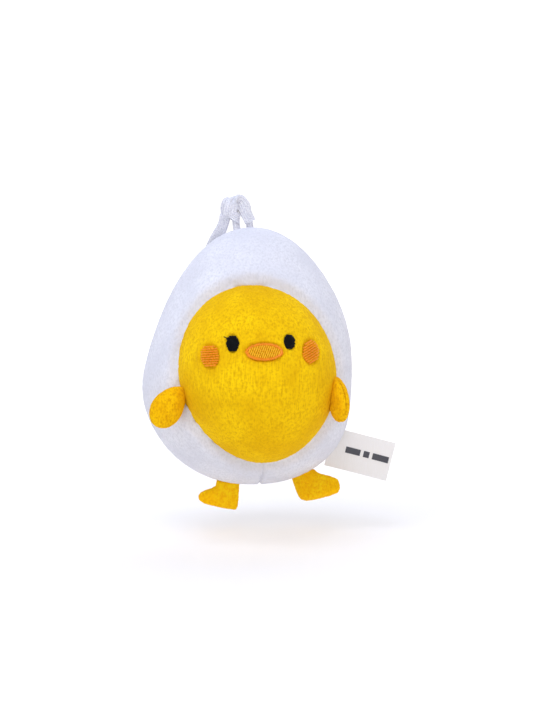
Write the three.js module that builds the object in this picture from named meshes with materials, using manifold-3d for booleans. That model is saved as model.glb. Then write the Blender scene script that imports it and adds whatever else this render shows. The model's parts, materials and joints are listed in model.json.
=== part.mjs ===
// A plush keychain: a stuffed white egg with a domed yellow chick belly sewn into its front,
// two padded wings, two padded feet, a cord loop at the crown, and a ribbon strap hitched
// to that loop with a split key ring on its end.
// Millimetres, +Z up, front towards -Y. The origin is the hang point, in the crown loop's eye.
import * as THREE from "three";
import { mergeVertices } from "three/addons/utils/BufferGeometryUtils.js";
import Module from "manifold-3d";

const wasm = await Module();
wasm.setup();

// Driving dimensions, in millimetres. Angles are in degrees.
const GAP = 0.3; // between solids that touch on the real object
const PLUSH = 1.2; // short-pile plush with its knitted back
const LIMB_PLUSH = 1; // the same cloth, pressed thinner in the wings and feet
const THREAD = 0.6; // height of satin embroidery

const EGG_WIDTH = 78;
const EGG_DEPTH = 58;
const EGG_HEIGHT = 95.5;
const EGG_TAPER = 0.2; // how much narrower the top is than the bottom
const EGG_FULLNESS = 2.1; // 2 is an ellipse, more is boxier

const BELLY_WIDTH = 56.5;
const BELLY_HEIGHT = 63.4;
const BELLY_BULGE = 26; // from the dome's widest plane to its front
const BELLY_PLANE = 17; // the dome's widest plane, in front of the side seam
const BELLY_RISE = -6; // the dome's centre, from the egg's middle height

const LOOP_CORD = 3;
const LOOP_EYE = 2.6; // free width between the loop's legs
const LOOP_HEIGHT = 10.3; // from the cover to the top of the cord
const LOOP_TAIL = 5; // length of the legs inside the seam
const LOOP_OFFSET = -4; // the loop is sewn beside the egg's axis
const LOOP_LEAN = -7;

const HITCH_WIDTH = 10.4;
const HITCH_DEPTH = 7.2;
const HITCH_HEIGHT = 9;
const HITCH_SIDE = 1.7; // its middle, beside the loop's bend
const HITCH_RISE = 0.9; // and above it
const STRAP_WIDTH = 5;
const STRAP_THICKNESS = 2.2; // two plies of ribbon

const RING_DIAMETER = 22;
const RING_WIRE = 1.7; // across the flattened wire
const RING_STACK = 2.4; // two turns of wire
const RING_SWING = [0, 150]; // about the strap's end, away from the egg
const STRAP_SWING = [0, 180]; // up and over from the egg's back

const EYE_WIDTH = 3.7;
const EYE_HEIGHT = 5.4;
const EYE_SPACING = 19.4;
const EYE_RISE = 11.3; // above the dome's centre, as the next two are
const EYE_TILT = 8; // of the right eye
const BEAK_WIDTH = 12.4;
const BEAK_HEIGHT = 5.8;
const BEAK_RISE = 7.9;
const BEAK_BORDER = 0.7;
const CHEEK_WIDTH = 5.6;
const CHEEK_HEIGHT = 7.8;
const CHEEK_SPACING = 35.6;
const CHEEK_RISE = 6.8;

const WING_LENGTH = 18;
const WING_WIDTH = 12.6;
const WING_THICKNESS = 6.4;
const WING_LEFT_DROP = 5.5; // roots below the dome's centre
const WING_RIGHT_DROP = 2.6;
const WING_LEFT_TURN = 207; // from the right, about the upright, of the way a wing points
const WING_RIGHT_TURN = -72;
const WING_LEFT_HANG = 50; // below the level
const WING_RIGHT_HANG = 65;
const WING_BURIED = 2.2; // root length tucked in at the belly seam
const WING_FORWARD = 6.5; // roots in front of the dome's widest plane
const WING_INSET = 1; // and inside its outline there

const WING_LEFT_SWING = [-15, 50]; // about the upright belly seam, from rest
const WING_RIGHT_SWING = [-10, 55];

const FOOT_LENGTH = 15.5;
const FOOT_HEIGHT = 11;
const FOOT_THICKNESS = 4.6;
const FOOT_PAD_SHARE = 0.82; // the pad's outline, of the foot's
const FOOT_LEFT_X = -5.5; // of the straight heel edge, from the egg's axis
const FOOT_RIGHT_X = 14.4;
const FOOT_RIGHT_TIP = -24; // its sole is turned towards the front
const FOOT_RIGHT_ROLL = -6; // its toe is lifted
const FOOT_SUNK = 1.2; // how far an ankle reaches above the cover's lowest part
const FOOT_BACK = 2; // ankles in front of the side seam
const FOOT_LEFT_SWING = [-30, 30]; // about the ankle, from side to side
const FOOT_RIGHT_SWING = [-20, 40];

const LABEL_LENGTH = 23;
const LABEL_WIDTH = 14;
const LABEL_THICKNESS = 0.8; // two plies of folded tape
const LABEL_BURIED = 2.2; // root length caught in the side seam
const LABEL_RISE = 13.5; // above the egg's bottom, at the seam
const LABEL_DROOP = 15;
const LABEL_SWING = [-45, 45]; // about the side seam

const CLOSING_STITCHES = 7;
const CLOSING_DROP = 11.5; // its top stitch, below the egg's middle
const CLOSING_LENGTH = 21;
const CLOSING_THREAD = 0.5;

// Facets: enough to hold the shapes, and no more.
const EGG_TURNS = 32;
const EGG_RINGS = 16;
const DOME_TURNS = 28;
const DOME_RINGS = 14;
const LENS_TURNS = 14;
const LENS_RINGS = 8;
const CORD_SIDES = 8;

const rad = THREE.MathUtils.degToRad;
const LOOP_BEND = (LOOP_EYE + LOOP_CORD) / 2; // radius of the cord's centreline at the top
const COVER_Z = LOOP_BEND + LOOP_CORD / 2 - LOOP_HEIGHT; // where the legs meet the cover

// ---------- solids ----------

// A closed geometry as a solid, with shared vertices merged and the pole's empty faces dropped.
function solid(geometry) {
  const bare = geometry.index ? geometry.toNonIndexed() : geometry.clone();
  bare.deleteAttribute("normal");
  bare.deleteAttribute("uv");
  const merged = mergeVertices(bare, 1e-4);
  const faces = [];
  for (let i = 0; i < merged.index.count; i += 3) {
    const [a, b, c] = merged.index.array.slice(i, i + 3);
    if (a !== b && b !== c && c !== a) faces.push(a, b, c);
  }
  return new wasm.Manifold(
    new wasm.Mesh({
      numProp: 3,
      vertProperties: merged.attributes.position.array,
      triVerts: new Uint32Array(faces),
    }),
  );
}

function geometryOf(body) {
  const mesh = body.getMesh();
  const geometry = new THREE.BufferGeometry();
  geometry.setAttribute(
    "position",
    new THREE.BufferAttribute(new Float32Array(mesh.vertProperties), 3),
  );
  geometry.setIndex(new THREE.BufferAttribute(new Uint32Array(mesh.triVerts), 1));
  geometry.computeVertexNormals();
  return geometry;
}

// Everything on one side of a plane across an axis: side -1 keeps what is below the place.
function halfSpace(axis, side, place) {
  const size = 400;
  const centre = new THREE.Vector3();
  centre[axis] = place + (side * size) / 2;
  return solid(new THREE.BoxGeometry(size, size, size).translate(...centre));
}

// A piece with room cut away for a neighbour, at every angle of a hinge between them. The
// neighbour turns by each angle from the first to the last, about an axis through a place.
function clearOf(piece, neighbour, place, axis, [first, last], steps) {
  let left = piece;
  for (let i = 0; i <= steps; i++) {
    const angle = rad(THREE.MathUtils.lerp(first, last, i / steps));
    const turn = new THREE.Matrix4()
      .makeTranslation(place.x, place.y, place.z)
      .multiply(new THREE.Matrix4().makeRotationAxis(axis, angle))
      .multiply(
        new THREE.Matrix4().makeTranslation(-place.x, -place.y, -place.z),
      );
    left = left.subtract(neighbour.transform(turn.elements));
  }
  return largest(left);
}

function largest(body) {
  const bodies = body.decompose();
  return bodies.reduce((a, b) => (a.volume() > b.volume() ? a : b));
}

// Seen from a moving piece, its fixed neighbour turns the other way.
function reversed([first, last]) {
  return [-last, -first];
}

const X_AXIS = new THREE.Vector3(1, 0, 0);
const Z_AXIS = new THREE.Vector3(0, 0, 1);

// ---------- the egg and the dome, each at any offset from its skin ----------

// Half-width of the egg's profile at a height share from -1, its bottom, to 1, its top.
function eggShare(share) {
  const round = (1 - Math.abs(share) ** EGG_FULLNESS) ** (1 / EGG_FULLNESS);
  return (1 - EGG_TAPER * share) * round;
}

const EGG_WIDEST = Math.max(
  ...Array.from({ length: 41 }, (_, i) => eggShare(i / 20 - 1)),
);

function egg(offset) {
  const profile = [];
  for (let i = 0; i <= EGG_RINGS; i++) {
    const angle = (i / EGG_RINGS - 0.5) * Math.PI;
    const share =
      Math.sign(angle) * Math.abs(Math.sin(angle)) ** (2 / EGG_FULLNESS);
    const onAxis = i === 0 || i === EGG_RINGS;
    const width = onAxis ? 0 : eggShare(share) / EGG_WIDEST;
    profile.push(
      new THREE.Vector2(
        (EGG_WIDTH / 2 + offset) * width,
        (EGG_HEIGHT / 2 + offset) * share,
      ),
    );
  }
  const geometry = new THREE.LatheGeometry(profile, EGG_TURNS).rotateX(
    Math.PI / 2,
  );
  return solid(
    geometry.scale(1, (EGG_DEPTH + 2 * offset) / (EGG_WIDTH + 2 * offset), 1),
  );
}

function dome(offset) {
  return solid(
    new THREE.SphereGeometry(1, DOME_TURNS, DOME_RINGS)
      .scale(
        BELLY_WIDTH / 2 + offset,
        BELLY_BULGE + offset,
        BELLY_HEIGHT / 2 + offset,
      )
      .translate(0, -BELLY_PLANE, BELLY_RISE),
  );
}

// Half-width of the egg at a height from its middle, on the side seam.
function eggHalfWidth(height) {
  return (EGG_WIDTH / 2 / EGG_WIDEST) * eggShare(height / (EGG_HEIGHT / 2));
}

// A tube along a curve.
function tube(curve, width, thickness, steps, sides, turn = 0) {
  const section = new THREE.Shape(
    Array.from({ length: sides }, (_, i) => {
      const angle = ((i + 0.5) / sides) * 2 * Math.PI;
      const reach = 1 / Math.cos(Math.PI / sides);
      return new THREE.Vector2(
        (width / 2) * reach * Math.cos(angle),
        (thickness / 2) * reach * Math.sin(angle),
      ).rotateAround(new THREE.Vector2(), turn);
    }),
  );
  return new THREE.ExtrudeGeometry(section, { steps, extrudePath: curve });
}

// ---------- materials ----------

function finish(color, roughness, metalness = 0) {
  return new THREE.MeshStandardMaterial({ color, roughness, metalness });
}

const WHITE_PLUSH = finish("#e6e9fa", 0.9);
const YELLOW_PLUSH = finish("#f4cb05", 0.9);
const WING_PLUSH = finish("#f8c600", 0.9);
const FOOT_PLUSH = finish("#f0b000", 0.9);
const FIBREFILL = finish("#f4f4f0", 1);
const BLACK_THREAD = finish("#101010", 0.5);
const ORANGE_THREAD = finish("#f08400", 0.5);
const AMBER_THREAD = finish("#fbb400", 0.5);
const WHITE_CORD = finish("#e4e3e8", 0.7);
const NICKEL = finish("#c9c7c2", 0.25, 1);
const LABEL_TAPE = finish("#f6f1ea", 0.6);
const SEWING_THREAD = finish("#dfe2f2", 0.6);

// The whole toy hangs below the origin: its own middle is EGG_MIDDLE lower.
const EGG_MIDDLE = COVER_Z - EGG_HEIGHT / 2;
const keychain = new THREE.Group();
const toy = new THREE.Group();
toy.position.set(-LOOP_OFFSET, 0, EGG_MIDDLE);
keychain.add(toy);

function add(parent, name, body, material) {
  const mesh = new THREE.Mesh(geometryOf(body), material);
  mesh.name = name;
  parent.add(mesh);
}

// ---------- crown loop ----------

// One cord bent over into an eye, its two legs caught in the top of the side seam.
const legFoot = COVER_Z - LOOP_TAIL;
const bend = Array.from({ length: 9 }, (_, i) => {
  const angle = Math.PI - (i / 8) * Math.PI;
  return new THREE.Vector3(
    LOOP_BEND * Math.cos(angle),
    0,
    LOOP_BEND * Math.sin(angle),
  );
});
const loopRoute = new THREE.CatmullRomCurve3([
  new THREE.Vector3(-LOOP_BEND, 0, legFoot),
  new THREE.Vector3(-LOOP_BEND, 0, legFoot / 2),
  ...bend,
  new THREE.Vector3(LOOP_BEND, 0, legFoot / 2),
  new THREE.Vector3(LOOP_BEND, 0, legFoot),
]);
const LOOP_STEPS = 32;

function crownLoop(clearance) {
  const across = LOOP_CORD + 2 * clearance;
  return solid(
    tube(loopRoute, across, across, LOOP_STEPS, CORD_SIDES).rotateY(
      rad(LOOP_LEAN),
    ),
  );
}

// The loop's clearance, in the toy's own frame.
const loopRoom = crownLoop(GAP).translate(LOOP_OFFSET, 0, -EGG_MIDDLE);

// ---------- the stuffed body ----------

const eggSkin = egg(0).subtract(egg(-PLUSH));
const inFront = halfSpace("y", -1, -GAP / 2);
const behind = halfSpace("y", 1, GAP / 2);
const leftOf = halfSpace("x", -1, -GAP / 2);
const rightOf = halfSpace("x", 1, GAP / 2);

add(
  toy,
  "shell_front",
  eggSkin.intersect(inFront).subtract(dome(GAP)).subtract(loopRoom),
  WHITE_PLUSH,
);
add(
  toy,
  "shell_back_left",
  eggSkin.intersect(behind).intersect(leftOf).subtract(loopRoom),
  WHITE_PLUSH,
);
add(
  toy,
  "shell_back_right",
  eggSkin.intersect(behind).intersect(rightOf).subtract(loopRoom),
  WHITE_PLUSH,
);
add(
  toy,
  "belly_cover",
  dome(0).subtract(dome(-PLUSH)).subtract(egg(-PLUSH)),
  YELLOW_PLUSH,
);
add(
  toy,
  "body_filling",
  egg(-PLUSH - GAP).add(dome(-PLUSH - GAP)).subtract(loopRoom),
  FIBREFILL,
);

// Ladder stitches that close the stuffing hole, low on the back seam.
function onBack(height, side) {
  const width = eggHalfWidth(height);
  const out = (width * EGG_DEPTH) / EGG_WIDTH;
  return new THREE.Vector3(side, out + GAP + CLOSING_THREAD, height);
}

const closingTop = -CLOSING_DROP;
const closingRoute = new THREE.CatmullRomCurve3(
  Array.from({ length: 2 * CLOSING_STITCHES + 1 }, (_, i) => {
    const height = closingTop - (i / (2 * CLOSING_STITCHES)) * CLOSING_LENGTH;
    return onBack(height, i % 2 ? 0.9 : -0.9);
  }),
);
add(
  toy,
  "closing_thread",
  solid(
    tube(closingRoute, CLOSING_THREAD, CLOSING_THREAD, 8 * CLOSING_STITCHES, 5),
  ),
  SEWING_THREAD,
);

// ---------- embroidered face ----------

const threadLayer = dome(GAP + THREAD)
  .subtract(dome(GAP))
  .intersect(halfSpace("y", -1, -BELLY_PLANE));

// An upright oval column that runs front to back, centred over a place on the dome.
function column(x, rise, width, height, tilt) {
  return solid(
    new THREE.CylinderGeometry(1, 1, 4 * BELLY_BULGE, 16)
      .scale(width / 2, 1, height / 2)
      .rotateY(rad(tilt))
      .translate(x, 0, BELLY_RISE + rise),
  );
}

const beakInner = 2 * (BEAK_BORDER + GAP);
const FACE = [
  ["eye_left", -EYE_SPACING / 2, EYE_RISE, EYE_WIDTH, EYE_HEIGHT, 0, BLACK_THREAD],
  ["eye_right", EYE_SPACING / 2, EYE_RISE, EYE_WIDTH, EYE_HEIGHT, EYE_TILT, BLACK_THREAD],
  [
    "beak_fill",
    0,
    BEAK_RISE,
    BEAK_WIDTH - beakInner,
    BEAK_HEIGHT - beakInner,
    0,
    AMBER_THREAD,
  ],
  [
    "cheek_left",
    -CHEEK_SPACING / 2,
    CHEEK_RISE,
    CHEEK_WIDTH,
    CHEEK_HEIGHT,
    0,
    ORANGE_THREAD,
  ],
  [
    "cheek_right",
    CHEEK_SPACING / 2,
    CHEEK_RISE,
    CHEEK_WIDTH,
    CHEEK_HEIGHT,
    0,
    ORANGE_THREAD,
  ],
];
for (const [name, x, rise, width, height, tilt, material] of FACE) {
  const shape = column(x, rise, width, height, tilt);
  add(toy, name, threadLayer.intersect(shape), material);
}

const beakHole = column(
  0,
  BEAK_RISE,
  BEAK_WIDTH - 2 * BEAK_BORDER,
  BEAK_HEIGHT - 2 * BEAK_BORDER,
  0,
);
const beakOval = column(0, BEAK_RISE, BEAK_WIDTH, BEAK_HEIGHT, 0);
add(
  toy,
  "beak_outline",
  threadLayer.intersect(beakOval.subtract(beakHole)),
  ORANGE_THREAD,
);

// ---------- wings ----------

const bodyRoom = egg(GAP).add(dome(GAP));

// Turns and places a solid's geometry, in the toy's frame.
function posed(geometry, place, turn) {
  const matrix = new THREE.Matrix4().makeRotationFromEuler(turn);
  return geometry.clone().applyMatrix4(matrix.setPosition(place));
}

// A wing is two ovals of plush sewn edge to edge over a little filling. It is made with its
// root at the origin, its length along +X and its faces towards -Y and +Y.
function wingLens(offset) {
  return new THREE.SphereGeometry(1, LENS_TURNS, LENS_RINGS)
    .scale(
      WING_LENGTH / 2 + offset,
      WING_THICKNESS / 2 + offset,
      WING_WIDTH / 2 + offset,
    )
    .translate(WING_LENGTH / 2 - WING_BURIED, 0, 0);
}

function addWing(side, place, turn, swing) {
  const wing = new THREE.Group();
  toy.add(wing);
  const skin = solid(wingLens(0)).subtract(solid(wingLens(-LIMB_PLUSH)));
  const away = side === "left" ? behind : inFront; // the left wing is turned round
  const near = side === "left" ? inFront : behind;
  const pieces = {
    front: skin.intersect(away),
    back: skin.intersect(near),
    filling: solid(wingLens(-LIMB_PLUSH - GAP)),
  };
  for (const [name, piece] of Object.entries(pieces)) {
    const there = solid(posed(geometryOf(piece), place, turn));
    const free = clearOf(there, bodyRoom, place, Z_AXIS, reversed(swing), 5);
    const material = name === "filling" ? FIBREFILL : WING_PLUSH;
    add(wing, `wing_${side}_${name}`, free, material);
  }
}

// A wing's root on the belly seam: how far out the dome reaches at that drop.
function wingRoot(side, drop) {
  const reach = Math.sqrt(1 - (drop / (BELLY_HEIGHT / 2)) ** 2);
  const x = (side * BELLY_WIDTH * reach) / 2 - side * WING_INSET;
  return new THREE.Vector3(x, -BELLY_PLANE - WING_FORWARD, BELLY_RISE - drop);
}

// The left wing lies open, hanging outwards and down. The right one stands forward.
addWing(
  "left",
  wingRoot(-1, WING_LEFT_DROP),
  new THREE.Euler(0, rad(WING_LEFT_HANG), rad(WING_LEFT_TURN), "ZYX"),
  WING_LEFT_SWING,
);
addWing(
  "right",
  wingRoot(1, WING_RIGHT_DROP),
  new THREE.Euler(0, rad(WING_RIGHT_HANG), rad(WING_RIGHT_TURN), "ZYX"),
  WING_RIGHT_SWING,
);

// ---------- feet ----------

// The outline of a foot from the side: a straight heel edge at x = 0, a short ankle,
// and a low round toe at x = FOOT_LENGTH. Its top is at z = 0.
function footOutline(share) {
  const length = FOOT_LENGTH;
  const height = FOOT_HEIGHT;
  const outline = new THREE.Shape();
  outline.moveTo(0, 0);
  outline.lineTo(0, -height * 0.96);
  outline.quadraticCurveTo(0, -height, length * 0.06, -height);
  outline.lineTo(length * 0.86, -height * 0.82);
  outline.bezierCurveTo(
    length * 1.04,
    -height * 0.8,
    length * 1.05,
    -height * 0.42,
    length * 0.84,
    -height * 0.36,
  );
  outline.quadraticCurveTo(
    length * 0.64,
    -height * 0.3,
    length * 0.54,
    -height * 0.12,
  );
  outline.lineTo(length * 0.54, 0);
  outline.closePath();
  const centre = new THREE.Vector2(length * 0.42, -height * 0.56);
  const points = outline
    .getPoints(5)
    .map((point) => point.sub(centre).multiplyScalar(share).add(centre));
  return new THREE.Shape(points);
}

// One layer of a foot, from a depth back, in the XZ plane.
function footLayer(share, front, thickness) {
  return new THREE.ExtrudeGeometry(footOutline(share), {
    depth: thickness,
    bevelEnabled: false,
  })
    .rotateX(Math.PI / 2)
    .translate(0, front + thickness, 0);
}

function addFoot(side, mirror, place, tip, roll, swing) {
  const foot = new THREE.Group();
  toy.add(foot);
  const half = FOOT_THICKNESS / 2;
  const pad = FOOT_THICKNESS - 2 * (LIMB_PLUSH + GAP);
  const layers = {
    top: footLayer(1, -half, LIMB_PLUSH),
    filling: footLayer(FOOT_PAD_SHARE, -pad / 2, pad),
    sole: footLayer(1, half - LIMB_PLUSH, LIMB_PLUSH),
  };
  for (const [name, layer] of Object.entries(layers)) {
    const outer = mirror ? solid(layer).mirror([1, 0, 0]) : solid(layer);
    const turn = new THREE.Euler(rad(tip), rad(roll), 0);
    const there = solid(posed(geometryOf(outer), place, turn));
    const material = name === "filling" ? FIBREFILL : FOOT_PLUSH;
    const free = clearOf(there, egg(GAP), place, X_AXIS, reversed(swing), 4);
    add(foot, `foot_${side}_${name}`, free, material);
  }
}

// How far below the egg's middle its underside is, at a distance from the axis.
function undersideAt(x) {
  let low = -EGG_HEIGHT / 2;
  let high = 0;
  for (let i = 0; i < 30; i++) {
    const middle = (low + high) / 2;
    if (eggHalfWidth(middle) < Math.abs(x)) low = middle;
    else high = middle;
  }
  return low;
}

addFoot(
  "left",
  true,
  new THREE.Vector3(
    FOOT_LEFT_X,
    -FOOT_BACK,
    undersideAt(FOOT_LEFT_X - FOOT_LENGTH / 4) + FOOT_SUNK,
  ),
  0,
  0,
  FOOT_LEFT_SWING,
);
addFoot(
  "right",
  false,
  new THREE.Vector3(
    FOOT_RIGHT_X,
    -FOOT_BACK,
    undersideAt(FOOT_RIGHT_X + FOOT_LENGTH / 4) + FOOT_SUNK,
  ),
  FOOT_RIGHT_TIP,
  FOOT_RIGHT_ROLL,
  FOOT_RIGHT_SWING,
);

// ---------- sewn-in label ----------

const labelHeight = LABEL_RISE - EGG_HEIGHT / 2;
const labelTape = posed(
  new THREE.BoxGeometry(LABEL_LENGTH, LABEL_THICKNESS, LABEL_WIDTH).translate(
    LABEL_LENGTH / 2 - LABEL_BURIED,
    0,
    0,
  ),
  new THREE.Vector3(eggHalfWidth(labelHeight), 0, labelHeight),
  new THREE.Euler(0, rad(LABEL_DROOP), 0),
);
const seamTop = labelHeight + LABEL_WIDTH / 2;
const seamBottom = labelHeight - LABEL_WIDTH / 2;
const labelRoot = new THREE.Vector3(
  (eggHalfWidth(seamTop) + eggHalfWidth(seamBottom)) / 2 + GAP,
  0,
  labelHeight,
);
const labelAxis = new THREE.Vector3(
  eggHalfWidth(seamTop) - eggHalfWidth(seamBottom),
  0,
  LABEL_WIDTH,
).normalize();
add(
  toy,
  "side_label",
  clearOf(
    solid(labelTape),
    egg(GAP),
    labelRoot,
    labelAxis,
    reversed(LABEL_SWING),
    4,
  ),
  LABEL_TAPE,
);

// ---------- loop, strap and key ring, in the hang point's frame ----------

add(keychain, "crown_loop", crownLoop(0), WHITE_CORD);

// The ribbon is hitched over the top of the loop, as one round knot.
function hitchBall(clearance) {
  const ball = new THREE.SphereGeometry(1, 16, 10).scale(
    HITCH_WIDTH / 2 + clearance,
    HITCH_DEPTH / 2 + clearance,
    HITCH_HEIGHT / 2 + clearance,
  );
  return solid(ball.translate(-HITCH_SIDE, 0, HITCH_RISE));
}

add(keychain, "strap_hitch", hitchBall(0).subtract(crownLoop(GAP)), WHITE_CORD);

// The doubled ribbon leaves the hitch on the left, slips behind the crown and hangs down the back.
const STRAP_ROUTE = [
  [-5.8, 1.0, -2.6],
  [-5.9, 2.0, -4.2],
  [-6.4, 3.0, -6.0],
  [-7.2, 4.2, -7.8],
  [-8.3, 5.8, -9.7],
  [-9.4, 7.9, -11.8],
  [-10.4, 10.4, -14.3],
  [-11.6, 13.2, -17.5],
  [-12.9, 15.9, -21.3],
  [-14.1, 18.5, -25.6],
  [-15.1, 21.0, -30.1],
  [-15.8, 23.2, -34.6],
  [-16.0, 25.2, -39.3],
  [-16.0, 27.1, -44.1],
  [-16.0, 28.7, -49.0],
  [-16.0, 30.0, -53.9],
  [-16.0, 30.9, -58.9],
];
const strapRoute = new THREE.CatmullRomCurve3(
  STRAP_ROUTE.map((point) => new THREE.Vector3(...point)),
);
const strapStart = strapRoute.points[0];
const strapEnd = strapRoute.points[strapRoute.points.length - 1];
const STRAP_STEPS = 30;
const strapTurn = ribbonTurn(strapRoute, STRAP_STEPS, new THREE.Vector3(1, 0, 0));

// The turn of a flat section that lays its width along a direction at the curve's end.
function ribbonTurn(curve, steps, direction) {
  const frames = curve.computeFrenetFrames(steps, false);
  const along = direction.dot(frames.normals[steps]);
  const across = direction.dot(frames.binormals[steps]);
  return Math.atan2(across, along);
}

const strapTail = solid(
  tube(
    strapRoute,
    STRAP_WIDTH,
    STRAP_THICKNESS,
    STRAP_STEPS,
    CORD_SIDES,
    strapTurn,
  ),
);
// A split ring of two turns of flattened wire, standing in the XZ plane below the strap's end.
const ringSection = [
  [-1, -0.6],
  [-0.5, -1],
  [0.5, -1],
  [1, -0.6],
  [1, 0.6],
  [0.5, 1],
  [-0.5, 1],
  [-1, 0.6],
  [-1, -0.6],
];
const ringPlace = new THREE.Vector3(
  strapEnd.x,
  strapEnd.y,
  strapEnd.z - GAP - RING_DIAMETER / 2,
);

function keyRing(clearance) {
  const section = ringSection.map(
    ([across, along]) =>
      new THREE.Vector2(
        (RING_DIAMETER - RING_WIRE) / 2 + across * (RING_WIRE / 2 + clearance),
        along * (RING_STACK / 2 + clearance),
      ),
  );
  const ring = new THREE.LatheGeometry(section, 32);
  return solid(ring.translate(ringPlace.x, ringPlace.y, ringPlace.z));
}

add(keychain, "key_ring", keyRing(0), NICKEL);

// The strap clears the knot, the loop and the egg as it swings, and the ring that hangs in it.
const ringHinge = new THREE.Vector3(
  strapEnd.x,
  strapEnd.y,
  strapEnd.z - GAP - RING_WIRE / 2,
);
const strapRoom = hitchBall(GAP)
  .add(crownLoop(GAP))
  .add(egg(GAP).translate(-LOOP_OFFSET, 0, EGG_MIDDLE));
const swinging = clearOf(
  strapTail,
  strapRoom,
  strapStart,
  X_AXIS,
  reversed(STRAP_SWING),
  12,
);
add(
  keychain,
  "strap_tail",
  clearOf(swinging, keyRing(GAP), ringHinge, X_AXIS, RING_SWING, 5),
  WHITE_CORD,
);

export default keychain;
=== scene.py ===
"""Plush keychain: the soft, printed and plated finish of each piece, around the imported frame."""

import json
import math

import bpy
import numpy as np
from mathutils import Euler, Matrix, Quaternion, Vector


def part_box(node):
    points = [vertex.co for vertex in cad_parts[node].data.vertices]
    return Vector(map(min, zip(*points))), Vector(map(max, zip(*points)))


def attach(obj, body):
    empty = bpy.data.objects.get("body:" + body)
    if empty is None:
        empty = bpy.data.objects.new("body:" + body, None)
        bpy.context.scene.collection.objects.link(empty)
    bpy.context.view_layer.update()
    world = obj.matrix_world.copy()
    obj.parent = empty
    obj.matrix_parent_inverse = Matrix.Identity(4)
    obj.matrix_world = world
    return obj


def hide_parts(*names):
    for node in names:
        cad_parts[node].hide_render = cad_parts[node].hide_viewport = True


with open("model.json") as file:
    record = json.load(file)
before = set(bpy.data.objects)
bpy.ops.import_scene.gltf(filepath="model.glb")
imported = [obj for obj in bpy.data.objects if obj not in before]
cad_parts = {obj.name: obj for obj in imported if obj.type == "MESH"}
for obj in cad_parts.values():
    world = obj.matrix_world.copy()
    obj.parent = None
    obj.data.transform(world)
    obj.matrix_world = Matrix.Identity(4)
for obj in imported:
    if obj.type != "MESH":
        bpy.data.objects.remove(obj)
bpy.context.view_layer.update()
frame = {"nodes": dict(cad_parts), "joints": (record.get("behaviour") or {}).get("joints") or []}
bpy.ops.object.select_all(action="DESELECT")

MM = 0.001

# ---------- Stage, light and camera ----------
# A round sweep of white paper, a large soft light above the toy's front, a weak fill on the
# right, a rim light behind, and a short telephoto lens a little left of the face.

egg_low, egg_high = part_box("shell_front")
back_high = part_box("shell_back_left")[1]
EGG_CENTRE = Vector(((egg_low.x + egg_high.x) / 2, 0, (egg_low.z + egg_high.z) / 2))
CAMERA_AZIMUTH = math.radians(-4)
CAMERA_RISE = math.radians(1.5)
CAMERA_ROLL = math.radians(-0.4)
CAMERA_DISTANCE = 478 * MM
CAMERA_LENS = 66.3
AIM_RIGHT = 5.0 * MM  # the toy stands a little left of the middle of the frame
FLOOR_DROP = 8 * MM  # below the lowest foot
PAPER_RADIUS = 1.6
PAPER_RISE = 1.5
PAPER_BEND = 0.8
PAPER_GLOW = (0.18, 0.6)  # its own light beside the toy, and at the far end of the span
PAPER_GLOW_SPAN = (0.05, 1.1)  # metres behind the toy


def linear(code):
    """A six-digit sRGB hex colour as linear RGBA."""
    parts = [int(code[i : i + 2], 16) / 255 for i in (0, 2, 4)]
    return [c / 12.92 if c <= 0.04045 else ((c + 0.055) / 1.055) ** 2.4 for c in parts] + [1]


def node(tree, kind, links=(), **settings):
    """Adds a shader node, sets its properties and sockets, and links other nodes' outputs into it."""
    made = tree.nodes.new("ShaderNode" + kind)
    for key, value in settings.items():
        if hasattr(made, key):
            setattr(made, key, value)
        else:
            made.inputs[key.replace("_", " ")].default_value = value
    for socket, output in dict(links).items():
        tree.links.new(output, made.inputs[socket])
    return made


def material(name):
    """A new material with an empty tree and its output node."""
    made = bpy.data.materials.new(name)
    made.use_nodes = True
    made.node_tree.nodes.clear()
    return made, made.node_tree, made.node_tree.nodes.new("ShaderNodeOutputMaterial")


# Matt white paper, which also glows a little, so that it stays white behind the toy.
paper, tree, out = material("white paper")
place = node(tree, "TexCoord").outputs["Object"]
away = node(tree, "SeparateXYZ", {"Vector": place})
lit = node(tree, "MapRange", {"Value": away.outputs["Y"]})
lit.inputs["From Min"].default_value, lit.inputs["From Max"].default_value = PAPER_GLOW_SPAN
lit.inputs["To Min"].default_value, lit.inputs["To Max"].default_value = PAPER_GLOW
sheet = node(
    tree,
    "BsdfPrincipled",
    {"Emission Strength": lit.outputs["Result"]},
    Roughness=0.9,
    Base_Color=linear("E9E6E3"),
)
sheet.inputs["Emission Color"].default_value = linear("FFFFFF")
tree.links.new(sheet.outputs["BSDF"], out.inputs["Surface"])

lowest = min(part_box(n)[0].z for n in frame["nodes"])
bpy.ops.mesh.primitive_circle_add(
    vertices=96, radius=PAPER_RADIUS, fill_type="NGON", location=(0, 0, lowest - FLOOR_DROP)
)
floor = bpy.context.object
floor.name = "paper_sweep"
bpy.ops.object.mode_set(mode="EDIT")
bpy.ops.mesh.select_mode(type="EDGE")
bpy.ops.mesh.select_all(action="SELECT")
bpy.ops.mesh.extrude_edges_move(TRANSFORM_OT_translate={"value": (0, 0, PAPER_RISE)})
bpy.ops.mesh.select_all(action="SELECT")
bpy.ops.mesh.normals_make_consistent(inside=True)
bpy.ops.object.mode_set(mode="OBJECT")
sweep_bend = floor.modifiers.new("bend", "BEVEL")
sweep_bend.width, sweep_bend.segments, sweep_bend.angle_limit = PAPER_BEND, 16, 0.5
bpy.ops.object.modifier_apply(modifier="bend")
bpy.ops.object.shade_smooth()
floor.data.materials.append(paper)

world = bpy.data.worlds.new("studio")
bpy.context.scene.world = world
world.use_nodes = True
world.node_tree.nodes["Background"].inputs["Color"].default_value = linear("E4ECFF")
world.node_tree.nodes["Background"].inputs["Strength"].default_value = 0.36

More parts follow.
